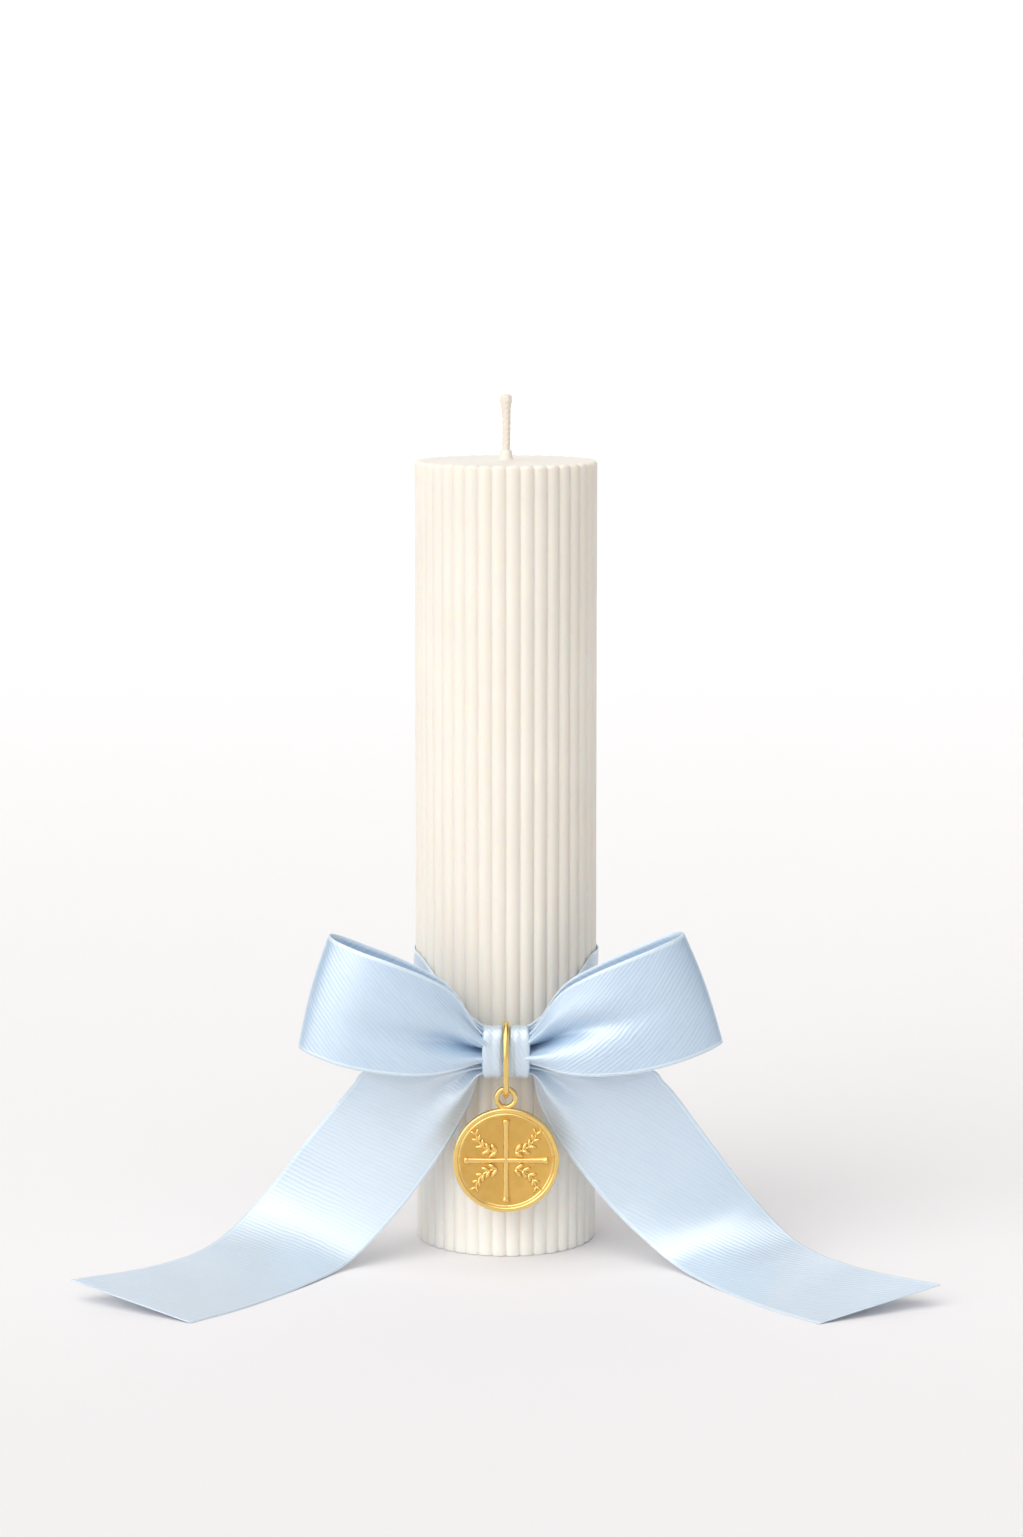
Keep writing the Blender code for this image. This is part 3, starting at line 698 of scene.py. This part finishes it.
def loop_grid(rows, side, front_folds):
    edges, along = even_edges(beside_knot(rows, side), 300)
    share = np.linspace(0, 1, 56)
    grid = edges[:, :1] * (1 - share[:, None]) + edges[:, 1:] * share[:, None]
    back = fold_relief(along, share, LOOP_BACK_FOLDS)
    front = fold_relief(along[-1] - along, share, front_folds)
    crown = 1.0 * MM * np.outer(np.sin(math.pi * along / along[-1]) ** 2, np.sin(math.pi * share))
    outward = side * surface_normals(grid)
    return grid + outward * (back + front + crown)[:, :, None], along


left_grid, left_along = loop_grid(LEFT_LOOP, -1, LEFT_LOOP_FOLDS)
right_grid, right_along = loop_grid(RIGHT_LOOP, 1, RIGHT_LOOP_FOLDS)
satin_piece("satin_loop_left", left_grid, left_along, "bow_loop_left")
satin_piece("satin_loop_right", right_grid, right_along, "bow_loop_right")

# ---------------------------------------------------------------------------------------
# The tails: the two free ends of the ribbon. Each falls from the knot, touches down beside
# the candle on its inner edge, and lies out along the floor to a slanting cut.

# Each row gives the inner edge, then the outer edge: mm outwards from the side of the knot,
# mm forwards from its middle, and mm above the floor.
LEFT_TAIL = (
    ((-4, -1, 64), (-4, -1, 68)),
    ((0, -2, 62.8), (3, -1, 67.8)),
    ((3, -4.5, 53), (20, -1, 67.5)),
    ((8, -5, 43), (36.3, -1, 64.8)),
    ((11.8, -4.8, 37), (41, -3.5, 59.4)),
    ((16, -4.5, 31), (46, -6, 53)),
    ((27, -2, 17), (56, -7, 40.5)),
    ((42.5, 5.5, 2.6), (72, -7.5, 20)),
    ((57, 27, 0.5), (87, 6, 8.6)),
    ((73, 49, 0.3), (104, 28, 7.5)),
    ((89, 66, 0.3), (128.5, 42, 7)),
)
RIGHT_TAIL = (
    ((-4, -1, 64), (-4, -1, 68)),
    ((0, -2, 62.8), (3, -1, 67.8)),
    ((2, -4.5, 53), (21, -1, 67.5)),
    ((6.5, -5, 43), (38, 0, 65.3)),
    ((11.5, -4.6, 36), (42.4, -1.5, 61)),
    ((17, -4, 29), (47, -3, 55.6)),
    ((29, -1.5, 15.5), (58.5, -5, 39.5)),
    ((45, 7, 3), (72.5, -6, 21)),
    ((57.5, 26.5, 0.5), (87, 3, 8.2)),
    ((73, 50, 0.3), (103.5, 32.5, 8.3)),
    ((88, 67, 0.3), (127.5, 47.5, 7)),
)
TAIL_FOLDS = (
    (0.0, 0.13, -2.6, 44), (0.2, 0.09, 3.0, 30), (0.41, 0.1, -3.0, 26), (0.65, 0.11, 2.4, 24),
    (0.9, 0.08, -1.2, 14),
)


def tail_grid(rows, side):
    lifted = [[(out, forward, height - knot_mid.z / MM) for out, forward, height in row] for row in rows]
    edges, along = even_edges(beside_knot(lifted, side), 300)
    share = np.linspace(0, 1, 56)
    grid = edges[:, :1] * (1 - share[:, None]) + edges[:, 1:] * share[:, None]
    folds = fold_relief(along, share, TAIL_FOLDS)
    grid = grid + side * surface_normals(grid) * folds[:, :, None]
    floor = RIBBON_T / 2 + EDGE_CORD_R / 2
    grid[:, :, 2] = np.maximum(grid[:, :, 2], floor)
    return grid, along


left_tail_grid, left_tail_along = tail_grid(LEFT_TAIL, -1)
right_tail_grid, right_tail_along = tail_grid(RIGHT_TAIL, 1)
# The tails' satin carries painted light: a paler blue, more of it on the left tail, where the light falls
# from the left.
satin_piece(
    "satin_tail_left", left_tail_grid, left_tail_along, "bow_tail_left",
    satin_material("left_tail_satin", 78, 0.4),
)
satin_piece(
    "satin_tail_right", right_tail_grid, right_tail_along, "bow_tail_right",
    satin_material("right_tail_satin", 18, 0.3),
)

# ---------------------------------------------------------------------------------------
# The knot: a short length of the same ribbon wrapped upright round the gathered middle of
# the bow, with soft folds round it and a deep one where the ring pinches it.
KNOT_SHOWS = 7.6 * MM  # half the width that shows
KNOT_ROLL = 0.9 * MM  # radius of the roll at each side, where the cloth turns under
KNOT_TUCK = 5.2 * MM  # cloth turned under at each side
KNOT_FOLDS = (  # place across the knot, width and depth of each fold in mm
    (0.0, 1.0, 3.2),
    (-4.4, 1.0, 0.25),
    (2.4, 0.6, 0.4),
    (4.9, 0.9, 0.2),
)


def knot_profile(columns):
    """The wrap's cross-section: across and inward, from one tucked edge over the front to the other."""
    flat = KNOT_SHOWS - KNOT_ROLL
    tuck = [(-flat + KNOT_TUCK * (1 - t), 2 * KNOT_ROLL) for t in np.linspace(0, 1, 12, endpoint=False)]
    roll = [
        (-flat - KNOT_ROLL * math.cos(a), KNOT_ROLL * (1 - math.sin(a)))
        for a in np.linspace(-math.pi / 2, math.pi / 2, 12, endpoint=False)
    ]
    half = tuck + roll
    face = [(x, 0.0) for x in np.linspace(-flat, flat, 80)]
    line = np.array(half + face + [(-x, inward) for x, inward in reversed(half)])
    for place, width, depth in KNOT_FOLDS:
        line[:, 1] += depth * MM * np.exp(
            -(((line[:, 0] - place * MM) / (width * MM)) ** 2)
        ) * (line[:, 1] < KNOT_ROLL)
    along = np.concatenate([[0], np.cumsum(np.linalg.norm(np.diff(line, axis=0), axis=1))])
    even = np.linspace(0, along[-1], columns)
    return np.interp(even, along, line[:, 0]), np.interp(even, along, line[:, 1])


def knot_grid(count, columns):
    """The wrap: its cross-section carried round an upright, rounded oblong."""
    turn = np.linspace(0, math.tau, count)
    across, inward = knot_profile(columns)
    squareness = 2 / 2.7
    c, s = np.cos(turn), np.sin(turn)
    y_part = np.sign(s) * np.abs(s) ** squareness
    z_part = np.sign(c) * np.abs(c) ** squareness
    wander = 0.2 * MM * np.sin(turn * 3)[:, None] * (1 - (across / KNOT_SHOWS) ** 2)
    depth = (knot_half.y + 0.2 * MM - inward[None, :]) * y_part[:, None]
    height = (knot_half.z + 0.1 * MM - inward[None, :]) * z_part[:, None]
    waist = 1 - 0.05 * np.abs(c)[:, None] ** 2
    return np.stack([across * waist + wander, knot_mid.y - depth, knot_mid.z + height], axis=2)


knot_wrap = knot_grid(180, 150)
knot_along = np.linspace(0, 45 * MM, len(knot_wrap))
satin_piece(
    "satin_knot", knot_wrap, knot_along, "bow_knot",
    painted_light_satin,
)

# ---------------------------------------------------------------------------------------
# The ring: gold-plated brass wire bent into an oval and closed round the waist of the knot.
ring_low, ring_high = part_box("bail_ring")


def gold_material(name, field):
    """Gold plate over brass: bright and faintly scratched, or finely blasted on a sunk field."""
    material, tree, shader, place = blank_material(name)
    shader.inputs["Metallic"].default_value = 1.0
    wear = add(tree, "ShaderNodeTexNoise", {"Vector": place, "Scale": 400.0, "Detail": 4.0}).outputs[0]
    deep, bright = (0.84, 0.56, 0.17), (0.93, 0.68, 0.28)
    if field:
        deep, bright = (0.66, 0.39, 0.09), (0.79, 0.51, 0.16)
    tree.links.new(two_tone(tree, wear, deep, bright), shader.inputs["Base Color"])
    low, high = (0.36, 0.5) if field else (0.13, 0.24)
    tree.links.new(
        add(tree, "ShaderNodeMapRange", {0: wear, 3: low, 4: high}).outputs[0], shader.inputs["Roughness"],
    )
    grain = add(
        tree, "ShaderNodeTexNoise", {"Vector": place, "Scale": 3800.0 if field else 900.0, "Detail": 2.0},
    ).outputs[0]
    strength, depth = (0.6, 0.09) if field else (0.08, 0.03)
    bump = add(
        tree, "ShaderNodeBump", {"Height": grain, "Strength": strength, "Distance": depth * MM},
    ).outputs[0]
    tree.links.new(bump, shader.inputs["Normal"])
    return material


def tube_mesh(name, centres, radii, sides, closed):
    """A round tube along a path of centres, closed on itself or capped at its ends."""
    centres = [Vector(c) for c in centres]
    count = len(centres)
    bm = bmesh.new()
    rings = []
    normal = None
    for i, centre in enumerate(centres):
        before = centres[(i - 1) % count if closed else max(i - 1, 0)]
        after = centres[(i + 1) % count if closed else min(i + 1, count - 1)]
        run = (after - before).normalized()
        if normal is None:
            normal = run.orthogonal()
        normal = (normal - run * normal.dot(run)).normalized()
        side = run.cross(normal)
        rings.append([
            bm.verts.new(centre + radii[i] * (math.cos(a) * normal + math.sin(a) * side))
            for a in (math.tau * k / sides for k in range(sides))
        ])
    pairs = list(zip(rings, rings[1:])) + ([(rings[-1], rings[0])] if closed else [])
    for low, high in pairs:
        for k in range(sides):
            j = (k + 1) % sides
            bm.faces.new((low[k], low[j], high[j], high[k]))
    if not closed:
        bm.faces.new(rings[0])
        bm.faces.new(rings[-1])
    bmesh.ops.recalc_face_normals(bm, faces=bm.faces)
    mesh = bpy.data.meshes.new(name)
    bm.to_mesh(mesh)
    bm.free()
    mesh.shade_smooth()
    return mesh


polished_gold = gold_material("polished_gold", False)
RING_WIRE_R = (ring_high.x - ring_low.x) / 2
ring_mid = (ring_low + ring_high) / 2
ring_half = (ring_high - ring_low) / 2 - Vector((RING_WIRE_R,) * 3)
RING_STEPS = 160
oval = [
    (0, ring_mid.y + ring_half.y * math.sin(a), ring_mid.z + ring_half.z * math.cos(a))
    for a in (math.tau * i / RING_STEPS for i in range(RING_STEPS))
]
oval_ring = placed("oval_ring", tube_mesh("oval_ring", oval, [RING_WIRE_R] * RING_STEPS, 32, True))
oval_ring.data.materials.append(polished_gold)
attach(oval_ring, "ring")
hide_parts("bail_ring")

# ---------------------------------------------------------------------------------------
# The medallion: a cast, gold-plated disc with a double rim, a soldered eyelet and a cross
# with flared arms in relief on a blasted field. A laurel sprig fills each quarter.
medal_low, medal_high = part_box("medallion")
MEDAL_R = (medal_high.x - medal_low.x) / 2
medal_z = medal_low.z + MEDAL_R
medal_y = knot_mid.y
EYELET_R = 3.05 * MM
EYELET_WIRE_R = 0.9 * MM
FIELD_T = 0.75 * MM
RIM_T = 1.3 * MM
CROSS_R = 0.98 * MM
CROSS_REACH = 13.8 * MM
FIELD_R = 15.0 * MM
RIM_HALF = 0.82 * MM
EYELET_STEPS = 96

face_profile = [
    (0, 0.75), (14.95, 0.75), (15.1, 0.8), (15.2, 0.95), (15.32, 1.0), (15.44, 0.95), (15.55, 0.8),
]
face_profile = [(r * MM, t * MM) for r, t in face_profile]
rim_mid = MEDAL_R - RIM_HALF
face_profile += [
    (rim_mid + RIM_HALF * math.sin(a), 0.55 * RIM_T + 0.45 * RIM_T * math.cos(a))
    for a in (math.radians(d) for d in range(-80, 81, 10))
]
face_profile += [(MEDAL_R, 0.3 * RIM_T)]
disc_profile = face_profile + [(r, -t) for r, t in reversed(face_profile)]


def upright(mesh, z):
    """Stands a mesh turned about Z on its edge, facing the front, at a height in the frame."""
    mesh.transform(Matrix.Translation((0, medal_y, z)) @ Matrix.Rotation(math.pi / 2, 4, "X"))
    return mesh


blasted_gold = gold_material("blasted_gold", True)
medal_disc = placed("medal_disc", upright(lathe("medal_disc", disc_profile, 192), medal_z))
medal_disc.data.materials.append(polished_gold)
medal_disc.data.materials.append(blasted_gold)
for face in medal_disc.data.polygons:
    flat_centre = Vector((face.center.x, face.center.z - medal_z))
    face.material_index = int(flat_centre.length < FIELD_R)

eyelet_z = medal_high.z - EYELET_R - EYELET_WIRE_R
eyelet_circle = [
    (EYELET_R * math.sin(a), medal_y, eyelet_z + EYELET_R * math.cos(a))
    for a in (math.tau * i / EYELET_STEPS for i in range(EYELET_STEPS))
]
medal_eyelet = placed(
    "medal_eyelet", tube_mesh("medal_eyelet", eyelet_circle, [EYELET_WIRE_R] * EYELET_STEPS, 24, True),
)
medal_eyelet.data.materials.append(polished_gold)

arm_stops = (  # share of the arm's reach from the middle, and the bar's radius there
    (-1.0, 0.5), (-0.985, 1.2), (-0.955, 1.42), (-0.92, 1.22), (-0.86, 1.05), (-0.6, 0.95), (0.0, 0.9),
    (0.6, 0.95), (0.86, 1.05), (0.92, 1.22), (0.955, 1.42), (0.985, 1.2), (1.0, 0.5),
)


def cross_bar(name, across, up):
    path = [(reach * across * CROSS_REACH, 0, reach * up * CROSS_REACH) for reach, _ in arm_stops]
    mesh = tube_mesh(name, path, [radius * CROSS_R for _, radius in arm_stops], 20, False)
    mesh.transform(Matrix.Translation((0, medal_y - FIELD_T, medal_z)) @ Matrix.Diagonal((1, 0.95, 1, 1)))
    bar = placed(name, mesh)
    bar.data.materials.append(polished_gold)
    return bar


def sprig_tree(material):
    """Pairs of leaves that shrink towards the tip of a stem."""
    tree, start, end = shape_tree("sprig", {"Leaves": "Int", "Leaf": "Float", "Stem": "Float"})
    line = add(tree, "GeometryNodeMeshToCurve", {"Mesh": start.outputs[0]}).outputs[0]
    ring = add(
        tree, "GeometryNodeCurvePrimitiveCircle", {"Resolution": 8, "Radius": start.outputs["Stem"]},
    ).outputs[0]
    stem = add(
        tree, "GeometryNodeCurveToMesh", {"Curve": line, "Profile Curve": ring, "Fill Caps": True},
    ).outputs[0]
    spaced = add(
        tree, "GeometryNodeResampleCurve", {"Curve": line, "Count": start.outputs["Leaves"]}, mode="COUNT",
    ).outputs[0]
    share = add(tree, "GeometryNodeSplineParameter").outputs["Factor"]
    leaf = add(
        tree, "GeometryNodeMeshUVSphere", {"Segments": 14, "Rings": 9, "Radius": start.outputs["Leaf"]},
    ).outputs[0]
    run = add(tree, "GeometryNodeInputTangent").outputs[0]
    grows = [stem]
    for lean in (-1, 1):
        blade = add(
            tree, "GeometryNodeTransform",
            {"Geometry": leaf, "Translation": (0, 0, 1.55 * MM), "Scale": (0.46, 0.55, 1.0)},
        ).outputs[0]
        leaned = add(
            tree, "GeometryNodeTransform", {"Geometry": blade, "Rotation": (0, lean * math.radians(42), 0)},
        ).outputs[0]
        facing = add(
            tree, "FunctionNodeAlignRotationToVector", {"Vector": run}, axis="Z", pivot_axis="Y",
        ).outputs[0]
        size = add(tree, "ShaderNodeMapRange", {0: share, 3: 1.0, 4: 0.62}).outputs[0]
        put = add(
            tree, "GeometryNodeInstanceOnPoints",
            {"Points": spaced, "Instance": leaned, "Rotation": facing, "Scale": size},
        )
        grows.append(put.outputs[0])
    joined = add(tree, "GeometryNodeJoinGeometry")
    for shape in grows:
        tree.links.new(shape, joined.inputs[0])
    finish_tree(tree, end, joined.outputs[0], material)
    return tree


sprigs_grow = sprig_tree(polished_gold)


SPRIG_FROM = 2.9  # mm from each arm of the cross to the foot of a sprig
SPRIG_REACH, SPRIG_RISE = 7.0, 7.4  # radii in mm of the arc that its stem follows
SPRIG_TURN = math.radians(78)


def laurel(name, flip_x, flip_z):
    """One sprig in a quarter of the field, from beside the middle outwards on a gentle arc."""
    stem = []
    for i in range(13):
        t = i / 12
        x = SPRIG_FROM + SPRIG_REACH * math.sin(t * SPRIG_TURN)
        z = SPRIG_FROM + SPRIG_RISE * (1 - math.cos(t * SPRIG_TURN))
        stem.append((flip_x * x * MM, medal_y - FIELD_T - 0.1 * MM, medal_z + flip_z * z * MM))
    return grown(
        name, sprigs_grow, line_mesh("stem", stem, [(0, -1, 0)] * len(stem)), Leaves=5, Leaf=1.8 * MM,
        Stem=0.4 * MM,
    )


medal_pieces = [medal_disc, medal_eyelet, cross_bar("cross_upright", 0, 1), cross_bar("cross_beam", 1, 0)]
medal_pieces += [
    laurel(f"laurel_{'right' if x > 0 else 'left'}_{'upper' if z > 0 else 'lower'}", x, z)
    for x in (-1, 1) for z in (1, -1)
]
for piece in medal_pieces:
    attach(piece, "medallion")
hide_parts("medallion")

# ---------------------------------------------------------------------------------------
# The studio: a pale sweep of paper under and behind the candle, broad soft light from the
# upper left, and a long lens that looks slightly down.
FLOOR_FRONT, FLOOR_BACK = -3.0, 1.7
CURVE_R = 1.2
WALL_TOP = 4.0
PAPER_HALF = 4.0  # half its width
sweep_profile = [(FLOOR_FRONT, 0), (FLOOR_BACK, 0)]
sweep_profile += [
    (FLOOR_BACK + CURVE_R * math.sin(a), CURVE_R - CURVE_R * math.cos(a))
    for a in (math.radians(d) for d in range(6, 91, 6))
]
sweep_profile += [(FLOOR_BACK + CURVE_R, WALL_TOP)]
bm = bmesh.new()
lines = [[bm.verts.new((x, y, z)) for x in (-PAPER_HALF, PAPER_HALF)] for y, z in sweep_profile]
for low, high in zip(lines, lines[1:]):
    bm.faces.new((low[0], low[1], high[1], high[0]))
sweep_mesh = bpy.data.meshes.new("paper_sweep")
bm.to_mesh(sweep_mesh)
bm.free()
sweep_mesh.shade_smooth()
sweep = placed("paper_sweep", sweep_mesh)
paper = bpy.data.materials.new("paper")
paper.use_nodes = True
set_sockets(paper.node_tree.nodes["Principled BSDF"], {
    "Base Color": (0.865, 0.855, 0.865, 1), "Roughness": 0.9, "Specular IOR Level": 0.1,
})
sweep_mesh.materials.append(paper)

scene = bpy.context.scene
scene.view_settings.view_transform = "Standard"
world = bpy.data.worlds.new("studio")
scene.world = world
world.use_nodes = True
sky = world.node_tree
toward = add(sky, "ShaderNodeTexCoord").outputs["Generated"]
ROOM_LEVEL = 0.13
SOFTBOXES = (  # direction, how squarely it must be faced to be seen at all and in full, brightness
    ((-0.75, -0.58, 0.33), 0.84, 0.96, 1.75),
    ((0.86, -0.46, 0.22), 0.82, 0.95, 0.42),
    ((-0.12, -0.3, 0.94), 0.65, 0.95, 1.3),
    ((0.0, -0.99, 0.12), 0.45, 0.95, 0.62),
)
level = ROOM_LEVEL
for direction, seen, full, brightness in SOFTBOXES:
    facing = add(
        sky, "ShaderNodeVectorMath", {0: toward, 1: direction}, operation="DOT_PRODUCT",
    ).outputs["Value"]
    box = add(
        sky, "ShaderNodeMapRange", {0: facing, 1: seen, 2: full, 3: 0.0, 4: brightness},
        interpolation_type="SMOOTHSTEP",
    )
    level = maths(sky, "ADD", level, box.outputs[0])
sky.links.new(level, sky.nodes["Background"].inputs["Strength"])
sky.nodes["Background"].inputs["Color"].default_value = (1, 0.985, 0.97, 1)

sun = bpy.data.lights.new("window", "SUN")
sun.energy = 0.6
sun.angle = math.radians(55)
window = bpy.data.objects.new("window", sun)
scene.collection.objects.link(window)
window.rotation_euler = Vector((0.38, 0.55, -0.74)).to_track_quat("-Z", "Y").to_euler()

LENS_DISTANCE = 1.245
LENS_HEIGHT = 0.3383
LENS_DOWN = math.radians(8.237)
LENS_MM = 89.0748
LENS_SHIFT = 0.0035784  # puts the candle a little to one side of the middle of the frame
SENSOR_MM = 36.0
camera = bpy.data.cameras.new("camera")
camera.sensor_fit = "VERTICAL"
camera.sensor_height = SENSOR_MM
camera.lens = LENS_MM
camera.shift_x = LENS_SHIFT
camera.clip_start = 0.05
eye = bpy.data.objects.new("camera", camera)
scene.collection.objects.link(eye)
eye.location = (0, -LENS_DISTANCE, LENS_HEIGHT)
eye.rotation_euler = (math.pi / 2 - LENS_DOWN, 0, 0)
scene.camera = eye
